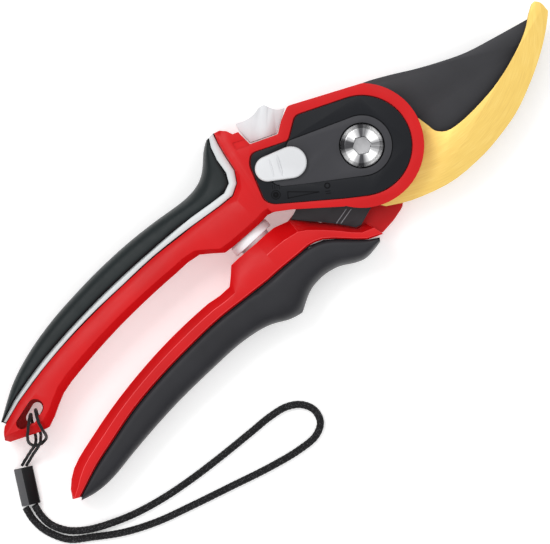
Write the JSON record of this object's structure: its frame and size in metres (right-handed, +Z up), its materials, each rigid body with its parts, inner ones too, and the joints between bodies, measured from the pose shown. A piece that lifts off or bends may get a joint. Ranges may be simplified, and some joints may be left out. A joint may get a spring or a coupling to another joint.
{
  "type": "bypass pruner",
  "caption": "Hand pruner with a curved counter-blade, a black cutting blade, soft-grip handles, a lock button, an opening-width slider and a wrist strap, shown closed.",
  "frame": {"origin": "on the pivot axis, at the outer face of the pivot nut, which lies in the plane that the tool rests on", "axes": "+Z up out of that plane along the pivot axis, +X towards the blade tips along the closed tool, +Y towards the upper handle"},
  "size_m": [0.2186, 0.0887, 0.0227],
  "materials": {
    "red_plastic": "red moulded plastic, satin gloss with a fine mould texture",
    "soft_grip_upper": "green-black soft overmould, satin",
    "soft_grip_lower": "charcoal soft overmould, satin",
    "white_trim": "white moulded plastic",
    "cover_black": "black moulded plastic, fine grain",
    "panel_grey": "dark grey moulded plastic, fine grain",
    "gold_blade": "gold-coloured coated steel, brushed lengthwise",
    "black_blade": "black low-friction coating on steel",
    "zinc_steel": "bright zinc-plated steel",
    "chrome": "turned and plated, with radial highlights",
    "bronze": "sintered bronze",
    "grey_plastic": "light grey moulded plastic",
    "white_button": "white moulded plastic",
    "spring_steel": "drawn spring wire",
    "strap_black": "black braided polyester with grey flecks",
    "sleeve_plastic": "dark grey moulded plastic"
  },
  "bodies": {
    "upper_handle": {"upper_handle_body": "red_plastic", "upper_grip": "soft_grip_upper", "upper_trim_strip": "white_trim", "head_cover": "cover_black", "cover_panel": "panel_grey", "counter_blade": "gold_blade", "counter_blade_screw_1": "zinc_steel", "counter_blade_screw_2": "zinc_steel", "pivot_bolt": "chrome", "pivot_washer": "zinc_steel", "pivot_bushing": "bronze", "wave_washer": "zinc_steel", "pivot_nut": "zinc_steel", "spring_seat": "grey_plastic", "return_spring": "spring_steel", "lanyard_string": "strap_black", "lanyard_sleeve": "sleeve_plastic", "wrist_cord": "strap_black"},
    "lower_handle": {"lower_handle_body": "red_plastic", "lower_grip": "soft_grip_lower", "cutting_blade": "black_blade", "blade_screw_1": "zinc_steel", "blade_screw_2": "zinc_steel", "spring_cup": "grey_plastic"},
    "width_stop": {"width_slider": "white_button"},
    "lock": {"lock_button": "grey_plastic", "lock_plate": "zinc_steel"}
  },
  "joints": [
    {"name": "blade_pivot", "type": "hinge", "parent": "upper_handle", "child": "lower_handle", "pos_m": [0, 0, 0], "axis": [0, 0, 1], "range_deg": [0, 40], "deforming": ["return_spring"]},
    {"name": "width_slide", "type": "slide", "parent": "upper_handle", "child": "width_stop", "axis": [0.8746, -0.4848, 0], "range_m": [0, 0.0065]},
    {"name": "lock_slide", "type": "slide", "parent": "upper_handle", "child": "lock", "axis": [-0.9115, 0.4112, 0], "range_m": [0, 0.003]}
  ]
}
